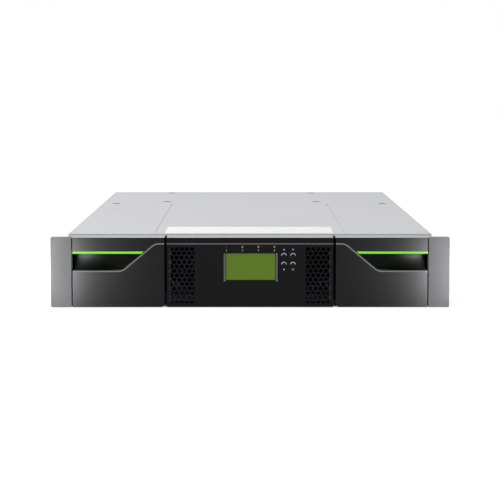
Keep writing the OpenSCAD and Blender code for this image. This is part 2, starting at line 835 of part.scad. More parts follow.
// A block that straddles a rail whose top is at height top
module shoe(top) {
    span([-6, -7.5, 0], [6, 7.5, top + slide + 2 - carriage_z]);
}

module shoe_groove(w, top) {
    span([-w / 2 - slide, -8, -1], [w / 2 + slide, 8, top + slide - carriage_z]);
}

// A motor on two posts over its pinion, with a blind bore for the pinion's shaft
module motor(post_angles) {
    r = motor_d / 2;
    z0 = carriage_z + carriage_t;
    z1 = z0 + 4.3;
    difference() {
        union() {
            translate([0, 0, z1]) cylinder(r = r, h = motor_h);
            translate([0, 0, z1]) linear_extrude(1.5) union() {
                circle(r = r + 1);
                for (a = post_angles) rotate(a) translate([0, -3]) square([r + 5, 6]);
            }
            for (a = post_angles) rotate([0, 0, a]) translate([r + 5, 0, z0])
                cylinder(r = 3, h = z1 - z0 + 1.5);
        }
        translate([0, 0, z1 - 1]) cylinder(r = 1.5 + run, h = 7);
    }
}

module robot_motors() {
    color([0.35, 0.36, 0.38]) translate([0, robot_y, 0]) {
        translate([travel_motor_x, travel_motor_y, 0]) motor([145, 190]);
        translate([-turn_motor_at, -turn_motor_at, 0]) motor([175, 265]);
    }
}

module motor_pinion(teeth) {
    z0 = carriage_z + carriage_t + 0.2;
    translate([0, 0, z0]) gear(teeth, 3.2, 0.15);
    translate([0, 0, z0 + 3]) cylinder(r = 1.5, h = 6);
}

module travel_pinion() {
    color("goldenrod")
        translate([travel_motor_x, robot_y + travel_motor_y, 0])
            motor_pinion(travel_pinion_teeth);
}

module turn_pinion() {
    color("goldenrod")
        translate([-turn_motor_at, robot_y - turn_motor_at, 0])
            motor_pinion(turn_pinion_teeth);
}

module turntable() {
    color([0.22, 0.22, 0.24]) translate([0, robot_y, turntable_z]) difference() {
        gear(turn_teeth, gear_t, 0.15);
        translate([0, 0, -1]) cylinder(r = hub_d / 2 + run, h = gear_t + 2);
        for (a = [0:45:315]) rotate([0, 0, a])
            translate([hub_d / 2 + (turn_r - hub_d / 2) / 3, 0, -1])
                cylinder(r = turn_r / 8 - 1.5, h = gear_t + 2);
    }
}

// Four guide rods, tied at the top by a plate on each side of the picker
module lift_posts() {
    z0 = turntable_z + gear_t;
    color([0.8, 0.8, 0.82]) translate([0, robot_y, 0]) for (s = [-1, 1]) difference() {
        union() {
            for (y = [-rod_y, rod_y]) translate([s * rod_x, y, z0])
                cylinder(d = rod_d, h = post_top - z0);
            span([s * rod_x - 4.5, -rod_y - 5, post_top - 2],
                [s * rod_x + 4.5, rod_y + 5, post_top]);
        }
        if (s < 0) translate([-rod_x, 0, post_top - 4]) cylinder(r = 1.55, h = 8);
    }
}

module lift_motor() {
    color([0.4, 0.4, 0.42]) translate([-rod_x, robot_y, post_top - 2 - lift_motor_h])
        difference() {
            cylinder(r = 5, h = lift_motor_h);
            translate([0, 0, -1]) cylinder(r = 1.25, h = 6);
        }
}

module lift_screw() {
    z0 = turntable_z + gear_t + 0.2;
    z1 = post_top - 2.4 - lift_motor_h;
    color([0.85, 0.85, 0.86]) translate([-rod_x, robot_y, 0]) {
        translate([0, 0, z0]) cylinder(d = screw_d, h = z1 - z0);
        translate([0, 0, z1 - 1]) cylinder(r = 1.2, h = 5);
    }
}

lug_h = 8;
frame_x = picker_x + 0.4;

// The frame that the lift screw carries: two slotted rails joined behind the picker
module lift_frame() {
    z = tray_z + 0.3;
    color([0.6, 0.61, 0.63]) translate([0, robot_y, 0]) difference() {
        union() {
            both_sides() {
                span([frame_x, -picker_l / 2 - 3, z], [frame_x + 1.2, 50, z + lug_h]);
                span([frame_x + 1, -rod_y - 6, z], [rod_x + 4, rod_y + 6, z + lug_h]);
            }
            span([-frame_x - 1, -picker_l / 2 - 3, z], [frame_x + 1, -picker_l / 2 - 1, z + lug_h]);
        }
        both_sides() {
            span([frame_x - 1, -49, z + 3], [frame_x + 2.2, 49, z + 5.3]);
            for (y = [-rod_y, rod_y]) translate([rod_x, y, 0])
                cylinder(r = rod_d / 2 + run, h = 40);
        }
        translate([-rod_x, 0, 0]) cylinder(r = screw_d / 2 + run, h = 40);
    }
}

module picker_tray() {
    z = tray_z;
    top = z + picker_wall + picker_h;
    back = -picker_l / 2;
    color([0.25, 0.26, 0.28]) translate([0, robot_y, 0]) {
        difference() {
            span([-picker_x, back, z], [picker_x, picker_l / 2, top + 1]);
            span([-picker_x + picker_wall, back + 2, z + picker_wall],
                [picker_x - picker_wall, picker_l / 2 + 1, top]);
            span([-picker_x + picker_wall + 2, back + 2, top - 1],
                [picker_x - picker_wall - 2, picker_l / 2 + 1, top + 2]);
        }
        both_sides() for (y = [-46, -3]) translate([0, y, z + 4.4])
            along_x(1, picker_x - 0.6, frame_x + 1);
    }
}

// A sliding beam with two hooks that hold a cartridge by its side notches
module gripper() {
    y = -picker_l / 2 + 2.2;
    z = tray_z + picker_wall + 0.1;
    color([0.7, 0.35, 0.12]) translate([0, robot_y, 0]) {
        span([-cart_w / 2, y, z], [cart_w / 2, y + 5, z + 12]);
        both_sides() span([cart_w / 2 - 3, y + 4, z + 3], [cart_w / 2, y + 9, z + 9]);
    }
}

module barcode_reader() {
    z = tray_z + 0.3;
    y = -picker_l / 2 - 3;
    color([0.15, 0.15, 0.16]) translate([0, robot_y, 0]) difference() {
        span([-12, y - 9, z], [12, y, z + 14]);
        span([-9, y - 10, z + 4], [9, y - 7, z + 11]);
    }
}

// ---- Tape drives ----

module tape_drive(z) {
    color([0.68, 0.69, 0.7]) translate([0, drive_y, z]) difference() {
        span([-drive_w / 2, 0, 0], [drive_w / 2, drive_l, drive_h]);
        span([-mouth_w / 2, -1, mouth_z], [mouth_w / 2, mouth_depth, mouth_z + mouth_h]);
        span([-30, drive_l - 8, 6], [14, drive_l + 1, 16]);
        span([-drive_w / 2 + 3, mouth_depth + 4, 3],
            [drive_w / 2 - 3, drive_l - 12, drive_h - 3]);
        both_sides() span([mouth_w / 2 + 6, 4, 3],
            [drive_w / 2 - 2, mouth_depth + 2, drive_h - 3]);
        translate([0, 4, mouth_z + mouth_h - 2])
            along_x(door_pin_r + run, -mouth_w / 2 - 4, mouth_w / 2 + 4);
    }
}

// A flap hung from a pin over the mouth, that swings in as a cartridge arrives
module drive_door(z) {
    pin_z = z + mouth_z + mouth_h - 2;
    color([0.2, 0.2, 0.22]) translate([0, drive_y + 4, pin_z]) {
        along_x(door_pin_r, -mouth_w / 2 - 3, mouth_w / 2 + 3);
        span([-mouth_w / 2 + 0.4, -0.6, -mouth_h + 2.5], [mouth_w / 2 - 0.4, 0.6, 0]);
    }
}

module drive_sled() {
    z0 = sheet + 0.2;
    color([0.74, 0.75, 0.76]) difference() {
        union() {
            span([-sled_x, drive_y + 10, z0], [sled_x, chassis_d + 0.5, z0 + 1]);
            both_sides() span([sled_x - 1, drive_y + 10, z0],
                [sled_x, chassis_d + 0.5, lintel_z - 3]);
            span([-sled_x - 7.3, chassis_d, z0], [sled_x + 7.3, face_y, lintel_z - 0.5]);
            both_sides() handle_end(30);
            translate([-30, face_y + 22, 36]) along_x(3, 0, 60);
        }
        for (z = drive_z) {
            span([-32, chassis_d - 2, z + 5], [16, face_y + 1, z + 17]);
            for (k = [0:5]) span([24 + k * 7, chassis_d - 2, z + 6],
                [28 + k * 7, face_y + 1, z + 18]);
        }
        both_sides() span([40, drive_y + 40, -1], [60, chassis_d - 60, 10]);
        thumbscrew_holes();
    }
}

// One leg of the sled's pull handle
module handle_end(x) {
    translate([x, 0, 36]) along_y(3, chassis_d + 0.5, face_y + 22);
}

// ---- Rear modules ----

module power_supply_case() {
    x0 = supply_x - supply_w / 2;
    x1 = supply_x + supply_w / 2;
    slot_step = (supply_w - 14) / 10;
    hole_step = (supply_w - 6.4) / 8;
    color([0.7, 0.71, 0.72]) difference() {
        union() {
            span([x0, supply_y, supply_z], [x1, chassis_d + 0.5, supply_z + supply_h]);
            span([x0 - 7, chassis_d, supply_z - 0.5], [x1 + 7, face_y, supply_z + supply_h]);
        }
        span([x0 + 1.2, supply_y + 1.2, supply_z + 1.2],
            [x1 - 1.2, chassis_d - 1, supply_z + supply_h - 1.2]);
        for (k = [0:9]) span([x0 + 8 + k * slot_step, supply_y - 1, supply_z + 14],
            [x0 + 11 + k * slot_step, supply_y + 3, supply_z + supply_h - 14]);
        for (k = [0:7], j = [0:2]) span([x0 + 4 + k * hole_step, chassis_d - 3, 46 + j * 10],
            [x0 + 11 + k * hole_step, face_y + 1, 52 + j * 10]);
        translate([inlet_x, 0, inlet_z])
            span([-36, chassis_d - 3, -10.2], [14, face_y + 1, 10.2]);
        thumbscrew_holes();
    }
}

// A mains inlet with a switch well beside it: a keyed socket with three blades
module power_inlet() {
    color([0.1, 0.1, 0.1]) translate([inlet_x, 0, inlet_z]) {
        difference() {
            union() {
                span([-35.8, chassis_d - 18, -10], [13.8, face_y + 0.5, 10]);
                wall(face_y, face_y + 2) translate([-38, -12]) rounded([54, 24], 2);
            }
            wall(chassis_d - 14, face_y + 5) polygon([[-12, -8.2], [12, -8.2], [12, 4],
                [8, 8.2], [-8, 8.2], [-12, 4]]);
            translate([switch_dx, 0, 0]) {
                span([-5.4, chassis_d - 8, -8], [5.4, face_y + 5, 8]);
                translate([0, face_y - 3, 0]) along_x(1.2 + run, -7, 7);
            }
        }
        for (p = [[-7, -2], [7, -2], [0, 2.5]])
            span([p[0] - 1, chassis_d - 15, p[1] - 2], [p[0] + 1, chassis_d - 4, p[1] + 2]);
    }
}

// A rocker that turns on a pin in the inlet's switch well, drawn switched on
module power_switch() {
    color([0.12, 0.12, 0.12])
        translate([inlet_x + switch_dx, face_y - 3, inlet_z]) rotate([-switch_tilt, 0, 0]) {
            translate([-5, 0, 0]) rotate([90, 0, 90]) linear_extrude(10)
                polygon([[-3, -5], [4.4, -6.6], [5.4, 0], [4.4, 6.6], [-3, 5]]);
            along_x(1.2, -6.8, 6.8);
        }
}

module controller_board() {
    x0 = wall_right + 8;
    color([0.1, 0.32, 0.16]) {
        span([x0, chassis_d - 1 - board_l, board_z],
            [tray_in - 12, chassis_d - 1, board_z + board_t]);
        for (p = [[20, 0.7, 26], [54, 0.76, 18], [30, 0.4, 14], [66, 0.49, 16]])
            translate([x0 + p[0], chassis_d - 1 - p[1] * board_l, board_z + board_t - 0.2])
                span([0, 0, 0], [p[2], p[2], 2.4]);
    }
}

// The tray under the controller board, bent up into the face plate for its ports
module controller_bracket() {
    x0 = wall_right + 6.5;
    x1 = tray_in - 7.5;
    color([0.74, 0.75, 0.76]) difference() {
        union() {
            span([x0, chassis_d - board_l - 3, board_z - 3.5],
                [x1, chassis_d + 0.5, board_z - 2.5]);
            for (x = [x0 + 6, x1 - 12], y = [board_l - 5, 8])
                translate([x, chassis_d - y, board_z - 3]) cylinder(r = 2.5, h = 3);
            span([x0 - 3, chassis_d, board_z - 6], [x1 + 3, face_y, board_z + 33]);
        }
        port_cut(network_x, 16.4, 14);
        port_cut(usb_x, 14.4, 7.4);
        for (x = [x0 + 20, x1 - 20])
            span([x - 4, chassis_d - 100, 0], [x + 4, chassis_d - 40, board_z - 2]);
        thumbscrew_holes();
    }
}

module port_cut(x, w, h) {
    span([x - w / 2, chassis_d - 3, board_z + board_t],
        [x + w / 2, face_y + 1, board_z + board_t + h]);
}

// A network socket and a USB socket, both soldered to the controller board
module rear_ports() {
    color([0.8, 0.8, 0.82]) translate([0, 0, board_z + board_t]) {
        difference() {
            span([network_x - 8, chassis_d - 20, 0], [network_x + 8, face_y + 0.4, 13.6]);
            span([network_x - 5.9, chassis_d - 12, 1.6], [network_x + 5.9, face_y + 1, 9.6]);
            span([network_x - 3, chassis_d - 12, 9], [network_x + 3, face_y + 1, 11.8]);
        }
        difference() {
            span([usb_x - 7, chassis_d - 16, 0], [usb_x + 7, face_y + 0.4, 7]);
            span([usb_x - 6.3, chassis_d - 12, 0.7], [usb_x + 6.3, face_y + 1, 6.3]);
        }
    }
}

module fan_housing() {
    y1 = chassis_d - sheet - seat;
    color([0.1, 0.1, 0.11]) translate([fan_x, 0, fan_z]) difference() {
        wall(y1 - fan_t, y1) square([fan_size, fan_size], center = true);
        along_y(fan_size / 2 - 1.2, y1 - fan_t - 1, y1 - 4);
        wall(y1 - 5, y1 + 1) difference() {
            circle(r = fan_size / 2 - 1.2);
            circle(r = 8);
            for (a = [0, 90]) rotate(a) square([fan_size, 2.4], center = true);
        }
        along_y(1.5 + run, y1 - 6, y1 - 1);
    }
    color([0.5, 0.5, 0.5]) for (x = [-1, 1]) translate([fan_x + x * (fan_size / 2 - 4), 0, 0])
        span([-2, y1 - fan_t + 2, sheet], [2, y1 - 2, fan_z - fan_size / 2]);
}

// Hub, shaft and leaning blades, turning about Y
module fan_rotor() {
    y1 = chassis_d - sheet - seat - 4.4;
    color([0.15, 0.15, 0.17]) translate([fan_x, y1, fan_z]) {
        rotate([90, 0, 0]) {
            cylinder(r = 7.8, h = 18);
            translate([0, 0, -3]) cylinder(r = 1.5, h = 4);
            intersection() {
                cylinder(r = fan_size / 2 - 2, h = 18);
                for (k = [0:6]) rotate([0, 0, k * 360 / 7]) translate([6.5, 0, 9])
                    rotate([38, 0, 0]) span([0, -9, -0.6], [fan_size / 2, 9, 0.6]);
            }
        }
    }
}

// Captive thumbscrews that hold the sled, the supply and the controller
module thumbscrews() {
    color([0.55, 0.56, 0.58]) for (p = thumb_at) translate([p[0], 0, p[1]]) difference() {
        union() {
            along_y(3.4, face_y, face_y + 7);
            along_y(screw_r, chassis_d - 5, face_y + 1);
        }
        span([-5, face_y + 6, -0.5], [5, face_y + 8, 0.5]);
    }
}

module thumbscrew_holes() {
    for (p = thumb_at) translate([p[0], 0, p[1]])
        along_y(screw_r + run, chassis_d - 6, face_y + 1);
}

// ---- Assembly ----

chassis_tray();
front_frame();
top_cover();
rear_panel();
partitions();
cover_screws();
rack_brackets();
mirror([1, 0, 0]) ear();  // left_ear
ear();  // right_ear
centre_bezel();
centre_trim();
display_frame();
display_glass();
status_lights();
panel_board();
key(0, 0);  // up_key
key(0, 1);  // down_key
key(1, 0);  // cancel_key
key(1, 1);  // enter_key
magazine_guides();
mirror([1, 0, 0]) magazine_front();  // left_magazine_front
mirror([1, 0, 0]) magazine_trim();  // left_trim
mirror([1, 0, 0]) light_bar();  // left_light_bar
mirror([1, 0, 0]) magazine_shell();  // left_magazine_shell
mirror([1, 0, 0]) slot_walls();  // left_slot_walls
magazine_front();  // right_magazine_front
magazine_trim();  // right_trim
light_bar();  // right_light_bar
magazine_shell();  // right_magazine_shell
slot_walls();  // right_slot_walls
mirror([1, 0, 0]) latch();  // left_latch
latch();  // right_latch
robot_rail();
robot_rack();
robot_carriage();
robot_motors();
travel_pinion();
turn_pinion();
turntable();
lift_posts();
lift_motor();
lift_screw();
lift_frame();
picker_tray();
gripper();
barcode_reader();
drive_sled();
tape_drive(drive_z[0]);  // lower_tape_drive
tape_drive(drive_z[1]);  // upper_tape_drive
drive_door(drive_z[0]);  // lower_drive_door
drive_door(drive_z[1]);  // upper_drive_door
power_supply_case();
power_inlet();
power_switch();
controller_board();
controller_bracket();
rear_ports();
fan_housing();
fan_rotor();
thumbscrews();
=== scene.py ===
# %% [markdown]
# # A data tape library for a rack
# This lesson dresses a finished CAD model. The CAD gives every solid its true size
# and place. Blender adds rounded edges, printed and moulded details, and materials.
# Everything is in metres, with X to the right, Y to the back and Z up.

# %% Load the model
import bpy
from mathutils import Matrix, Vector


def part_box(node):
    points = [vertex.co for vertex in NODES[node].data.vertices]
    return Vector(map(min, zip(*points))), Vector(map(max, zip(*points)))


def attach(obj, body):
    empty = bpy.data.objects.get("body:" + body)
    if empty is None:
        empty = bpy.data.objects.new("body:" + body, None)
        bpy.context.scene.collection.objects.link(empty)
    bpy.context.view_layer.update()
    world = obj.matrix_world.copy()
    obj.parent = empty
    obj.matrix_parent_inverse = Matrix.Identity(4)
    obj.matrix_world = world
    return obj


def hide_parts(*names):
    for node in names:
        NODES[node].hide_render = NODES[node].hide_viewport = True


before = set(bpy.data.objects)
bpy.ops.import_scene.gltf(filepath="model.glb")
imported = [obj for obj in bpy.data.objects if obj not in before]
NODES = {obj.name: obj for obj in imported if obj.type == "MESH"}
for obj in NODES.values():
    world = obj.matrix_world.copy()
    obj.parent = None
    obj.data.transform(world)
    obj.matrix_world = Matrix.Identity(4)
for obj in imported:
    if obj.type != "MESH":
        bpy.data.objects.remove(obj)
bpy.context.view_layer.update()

import math
import bpy
from mathutils import Vector

MM = 0.001

# %% [markdown]
# ## Camera
# The library is seen from the front and a little from above, from two metres away
# with a long lens. That keeps its uprights nearly parallel, and the cover narrows
# only a little towards the back.

# %% Place the camera
SENSOR_MM = 36
LENS_MM = 119.0
CAMERA_MM = (-3.9, -1996, 279)
LOOK_DOWN_DEG = 5.99
TURN_DEG = -0.11

camera_data = bpy.data.cameras.new("camera")
camera_data.sensor_width = SENSOR_MM
camera_data.lens = LENS_MM
camera_data.clip_end = 60
camera = bpy.data.objects.new("camera", camera_data)
bpy.context.scene.collection.objects.link(camera)
camera.location = [c * MM for c in CAMERA_MM]
camera.rotation_euler = (math.radians(90 - LOOK_DOWN_DEG), 0, math.radians(TURN_DEG))
bpy.context.scene.camera = camera
bpy.context.scene.view_settings.view_transform = "Standard"
print("camera at", list(camera.location))

# %% [markdown]
# ## Colours and nodes
# Paint and plastic are chosen as screen colours, but a shader works in linear light.
# One function converts them. Another adds one node with its settings and links, so
# that a material reads as a short list. Three more give sockets that are needed more
# than once: a coordinate, the distance from the middle plane, and what a ray is for.

# %% Helpers for materials
def linear(colour):
    """The shader's colour for an sRGB hex value."""
    channels = [int(colour[i:i + 2], 16) / 255 for i in (1, 3, 5)]
    return [c / 12.92 if c <= 0.04045 else ((c + 0.055) / 1.055) ** 2.4
            for c in channels] + [1]


def add(tree, kind, settings=(), links=()):
    """Adds a node; a key is a socket's name or number, or a property."""
    node = tree.nodes.new(kind)
    for key, value in dict(settings).items():
        if isinstance(key, str) and key not in node.inputs:
            setattr(node, key, value)
        else:
            node.inputs[key].default_value = value
    for key, source in dict(links).items():
        tree.links.new(source, node.inputs[key])
    return node


def coordinate(tree, axis):
    """The socket with a point's X, Y or Z in the object's own space."""
    place = add(tree, "ShaderNodeTexCoord").outputs["Object"]
    return add(tree, "ShaderNodeSeparateXYZ", {}, {"Vector": place}).outputs[axis]


def outwards(tree):
    """The socket with a point's distance from the middle plane."""
    return add(tree, "ShaderNodeMath", {"operation": "ABSOLUTE"},
               {0: coordinate(tree, "X")}).outputs[0]


def seen_directly(tree):
    """The socket that is 1 for camera, glossy and transmission rays, and else 0."""
    paths = add(tree, "ShaderNodeLightPath")
    seen = add(tree, "ShaderNodeMath", {"operation": "MAXIMUM"},
               {0: paths.outputs["Is Camera Ray"], 1: paths.outputs["Is Glossy Ray"]})
    return add(tree, "ShaderNodeMath", {"operation": "MAXIMUM"},
               {0: seen.outputs[0], 1: paths.outputs["Is Transmission Ray"]}).outputs[0]


# %% [markdown]
# ## A surface with a real grain
# No moulded or rolled surface is even. Its colour, its gloss and its height vary
# together over a grain of a known size, so one function builds them from a noise
# whose size is given in millimetres. The noise is stretched along a rolling or
# brushing direction by giving that axis a smaller scale.

# %% Build a grained surface
def surface(name, colour, roughness, grain_mm, along=(1, 1, 1), tint=0.04, gloss=0.05,
            bump_mm=0.0, cloud_mm=0, cloud=0.0, **settings):
    """A material with a fine grain, and wider clouds of slightly darker tone."""
    material = bpy.data.materials.new(name)
    material.use_nodes = True
    tree = material.node_tree
    shader = tree.nodes["Principled BSDF"]
    place = add(tree, "ShaderNodeTexCoord").outputs["Object"]
    sized = add(tree, "ShaderNodeMapping", {"Scale": [a / (grain_mm * MM) for a in along]},
                {"Vector": place})
    grain = add(tree, "ShaderNodeTexNoise", {"Scale": 1.0, "Detail": 3.0},
                {"Vector": sized.outputs["Vector"]})
    base = linear(colour)
    shades = [[max(0, min(1, c * k)) for c in base[:3]] + [1] for k in (1 - tint, 1 + tint)]
    mix = add(tree, "ShaderNodeMix", {"data_type": "RGBA", 6: shades[0], 7: shades[1]},
              {0: grain.outputs["Fac"]})
    tone = mix.outputs[2]
    if cloud:
        far = add(tree, "ShaderNodeTexNoise",
                  {"Scale": 1 / (cloud_mm * MM), "Detail": 1.0}, {"Vector": place})
        amount = add(tree, "ShaderNodeMath", {"operation": "MULTIPLY", 1: cloud},
                     {0: far.outputs["Fac"]})
        darker = add(tree, "ShaderNodeMix",
                     {"data_type": "RGBA", "blend_type": "MULTIPLY", 7: [0, 0, 0, 1]},
                     {0: amount.outputs[0], 6: tone})
        tone = darker.outputs[2]
    rough = add(tree, "ShaderNodeMapRange",
                {"To Min": max(roughness - gloss, 0.02), "To Max": roughness + gloss},
                {"Value": grain.outputs["Fac"]})
    tree.links.new(tone, shader.inputs["Base Color"])
    tree.links.new(rough.outputs["Result"], shader.inputs["Roughness"])
    if bump_mm:
        bump = add(tree, "ShaderNodeBump", {"Distance": bump_mm * MM},
                   {"Height": grain.outputs["Fac"]})
        tree.links.new(bump.outputs["Normal"], shader.inputs["Normal"])
    for key, value in settings.items():
        shader.inputs[key.replace("_", " ")].default_value = value
    return material


# %% [markdown]
# ## Metals
# The covers are zinc-coated steel sheet, rolled and lightly brushed from side to
# side. The real streaks are a fraction of a millimetre wide; here they are drawn 9 mm
# wide so that they show from two metres. Rods are ground bright, pinions and latches
# are brass, and hidden brackets have the cloudy look of zinc.

# %% Make the metals
METALS = {
    # Rolled sheet with a thin zinc coat: a pale grey with faint sideways streaks.
    "brushed_zinc_sheet": dict(colour="#bbbbbd", roughness=0.42, grain_mm=9,
                               along=(0.03, 1, 1), tint=0.035, bump_mm=0.004,
                               cloud_mm=160, cloud=0.06, Metallic=0.35),
    # Plain coated sheet: cloudier, with the zinc's crystals 7 mm wide.
    "zinc_sheet": dict(colour="#b3b5b7", roughness=0.42, grain_mm=7, tint=0.08,
                       gloss=0.08, cloud_mm=60, cloud=0.1, Metallic=0.6),
    # Powder paint on steel: a flat grey with the fine relief of the powder.
    "painted_lintel": dict(colour="#a5a5a7", roughness=0.45, grain_mm=0.8, tint=0.02,
                           gloss=0.04, bump_mm=0.01, cloud_mm=45, cloud=0.1,
                           Metallic=0.15),
    # A pale satin grey line on the fronts, painted as the highlight on the edge of their
    # moulded step; not a mirror.
    "silver_trim": dict(colour="#88888a", roughness=0.35, grain_mm=0.8,
                        along=(0.05, 1, 1), Specular_IOR_Level=0.1),
    # Dark chrome lacquer: darker than the trim, and only half a metal to the eye. On the
    # centre panel it paints the same step's edge as a dimmer highlight.
    "dark_chrome": dict(colour="#55555a", roughness=0.3, grain_mm=0.8,
                        along=(0.05, 1, 1), tint=0.05, Metallic=0.4),
    # Ground rods: bright, with faint streaks along them.
    "ground_steel": dict(colour="#c9c9cc", roughness=0.2, grain_mm=0.5,
                         along=(1, 1, 0.05), tint=0.05, gloss=0.06, Metallic=1.0),
    # Black-passivated zinc on the screws: a dark metal.
    "zinc_screw": dict(colour="#5e5f63", roughness=0.35, grain_mm=0.6, tint=0.08,
                       gloss=0.08, Metallic=0.9),
    # Turned brass, slightly dulled by handling.
    "machined_brass": dict(colour="#b58f45", roughness=0.3, grain_mm=0.5, tint=0.06,
                           gloss=0.08, Metallic=1.0),
    # Baked enamel on the motor cans: nearly black.
    "motor_enamel": dict(colour="#2c2d30", roughness=0.4, grain_mm=0.8, tint=0.05,
                         gloss=0.06, bump_mm=0.01),
    # Nickel plate: a smooth, slightly warm silver.
    "nickel_shield": dict(colour="#b8b8ba", roughness=0.25, grain_mm=1.5, tint=0.05,
                          gloss=0.08, Metallic=1.0),
    # Gold plate on the contact springs.
    "gold_contact": dict(colour="#d1a548", roughness=0.25, grain_mm=0.5, tint=0.03,
                         Metallic=1.0),
}
MATERIALS = {name: surface(name, **look) for name, look in METALS.items()}
print("metals", len(MATERIALS))

# %% [markdown]
# ## Plastics, paper and ink
# The fronts are satin black ABS: nearly black, with a soft sheen where a light
# stands beside them. Their own grain is too fine to show, so it is drawn 30 mm wide
# and very faint. The ears are spark-eroded grey ABS with a fine dull texture. Inner
# mouldings are glass-filled black, and the gripper is orange acetal.

# %% Make the plastics
PLASTICS = {
    # The fronts, moulded with a satin finish.
    "satin_black_abs": dict(colour="#070709", roughness=0.55, grain_mm=30, tint=0.03,
                            gloss=0.02, Specular_IOR_Level=0.12),
    # The same plastic inside the finger scoops, painted darker and with less gloss as shade,
    # where little of the room reaches it.
    "black_abs_painted_shade": dict(colour="#030304", roughness=0.4, grain_mm=30, tint=0.03,
                             gloss=0.02, Specular_IOR_Level=0.08),
    # The ears: a matt grey, pitted by the spark-eroded mould.
    "textured_grey_abs": dict(colour="#949496", roughness=0.35, grain_mm=0.5,
                              tint=0.035, gloss=0.04, bump_mm=0.02, cloud_mm=40,
                              cloud=0.05, Specular_IOR_Level=0.01),
    # The ring of a pressed dimple, painted darker than the sheet around it as the shade in
    # the hollow.
    "dimple_painted_shade": dict(colour="#454649", roughness=0.45, grain_mm=0.6, tint=0.05),
    # Glass-filled nylon inside: dull, with the fibres just under the skin.
    "moulded_black": dict(colour="#1c1c1e", roughness=0.6, grain_mm=0.8, tint=0.08,
                          gloss=0.06, bump_mm=0.02, Specular_IOR_Level=0.3),
    # Plain nylon of the rack and the turntable.
    "gear_nylon": dict(colour="#2b2b2d", roughness=0.5, grain_mm=0.6, tint=0.06,
                       gloss=0.06, bump_mm=0.01),
    # Acetal dyed through: an even orange with a waxy gloss.
    "orange_acetal": dict(colour="#c0561b", roughness=0.45, grain_mm=0.8, tint=0.05,
                          bump_mm=0.01),
    # The keys, the same black as the panel.
    "key_plastic": dict(colour="#0b0b0c", roughness=0.4, grain_mm=0.5, tint=0.05,
                        gloss=0.04, bump_mm=0.005, Specular_IOR_Level=0.12),
    # Green solder mask, mottled 4 mm wide for the copper that lies under it.
    "solder_mask": dict(colour="#17452a", roughness=0.35, grain_mm=4, tint=0.25),
    # Pad-printing ink; the arcs over the keys' upper rims use it too, as a painted highlight.
    "grey_print_and_rim_highlight": dict(colour="#d0d0d2", roughness=0.6, grain_mm=0.5, tint=0.03,
                         gloss=0.03),
    # Coated paper: nearly white, with the faint unevenness of the sheet.
    "label_paper": dict(colour="#e6e6e4", roughness=0.6, grain_mm=0.6, tint=0.015,
                        gloss=0.03, bump_mm=0.004, cloud_mm=50, cloud=0.03),
}
MATERIALS.update({name: surface(name, **look) for name, look in PLASTICS.items()})
print("materials", len(MATERIALS))

# %% [markdown]
# ## Worn scoops
# The inner ends of the finger scoops are the smoothest, and the gloss falls off
# towards the ears, where the moulding keeps its satin finish.

# %% Polish the inner end of the finger scoops
WORN_UP_TO, SATIN_FROM = 165, 208
WORN_ROUGHNESS, SATIN_ROUGHNESS = 0.16, 0.5
scoop = MATERIALS["black_abs_painted_shade"].node_tree
worn = add(scoop, "ShaderNodeMapRange",
           {"From Min": WORN_UP_TO * MM, "From Max": SATIN_FROM * MM,
            "To Min": WORN_ROUGHNESS, "To Max": SATIN_ROUGHNESS},
           {"Value": outwards(scoop)})
scoop.links.new(worn.outputs["Result"], scoop.nodes["Principled BSDF"].inputs["Roughness"])
print("scoop material has", len(scoop.nodes), "nodes")

# %% [markdown]
# ## Lit parts
# The lime bars are light guides, painted a little paler towards their outer ends as a
# highlight from the light beside them. The status lights and the display are dimmer.
# A glow is set on the shader's emission, and its colour fades over a distance from the middle
# plane.

# %% Make the lit materials
def glowing(name, colour, strength, base, far=None, start_mm=0, end_mm=1):
    """A plastic that shines in its own colour, fading outwards to another one that paints a
    highlight.
    """
    material = surface(name, base, 0.3, 2.0, (1, 1, 1), 0.05, 0.03)
    tree = material.node_tree
    shader = tree.nodes["Principled BSDF"]
    shader.inputs["Emission Strength"].default_value = strength
    shader.inputs["Specular IOR Level"].default_value = 0.12
    shader.inputs["Emission Color"].default_value = linear(colour)
    if far:
        fade = add(tree, "ShaderNodeMapRange",
                   {"From Min": start_mm * MM, "From Max": end_mm * MM},
                   {"Value": outwards(tree)})
        mix = add(tree, "ShaderNodeMix",
                  {"data_type": "RGBA", 6: linear(colour), 7: linear(far)},
                  {0: fade.outputs["Result"]})
        tree.links.new(mix.outputs[2], shader.inputs["Emission Color"])
    return material


MATERIALS.update({
    # The paler far colour of the lime bars is a painted highlight.
    "lime_light_guide": glowing("lime_light_guide", "#7de81f", 0.32, "#84e232",
                                "#9af055", 185, 215),
    "status_lens": glowing("status_lens", "#a5a52f", 0.35, "#6f7024"),
})
print("materials", len(MATERIALS))

# %% [markdown]
# ## One light off
# The first status light is off. The four lights share one material, so it looks at
# the place of a point: what lies more than 20 mm to the left stays dark.

# %% Leave the first status light dark
LENS_GLOW = 0.35
lens = MATERIALS["status_lens"].node_tree
shader = lens.nodes["Principled BSDF"]
lit_lens = add(lens, "ShaderNodeMath", {"operation": "GREATER_THAN", 1: -20 * MM},
               {0: coordinate(lens, "X")})
power = add(lens, "ShaderNodeMath", {"operation": "MULTIPLY", 1: LENS_GLOW},
            {0: lit_lens.outputs[0]})
tint = add(lens, "ShaderNodeMix",
           {"data_type": "RGBA", 6: linear("#2e2e30"), 7: linear("#6f7024")},
           {0: lit_lens.outputs[0]})
lens.links.new(power.outputs[0], shader.inputs["Emission Strength"])
lens.links.new(tint.outputs[2], shader.inputs["Base Color"])
print("status light material has", len(lens.nodes), "nodes")

# %% [markdown]
# ## Display glass
# The display is a green liquid-crystal panel under clear glass. Its dots are a third
# of a millimetre apart, too fine to show, so the grid is drawn 1.2 mm apart and very
# faint. The glass over it has one gloss everywhere.

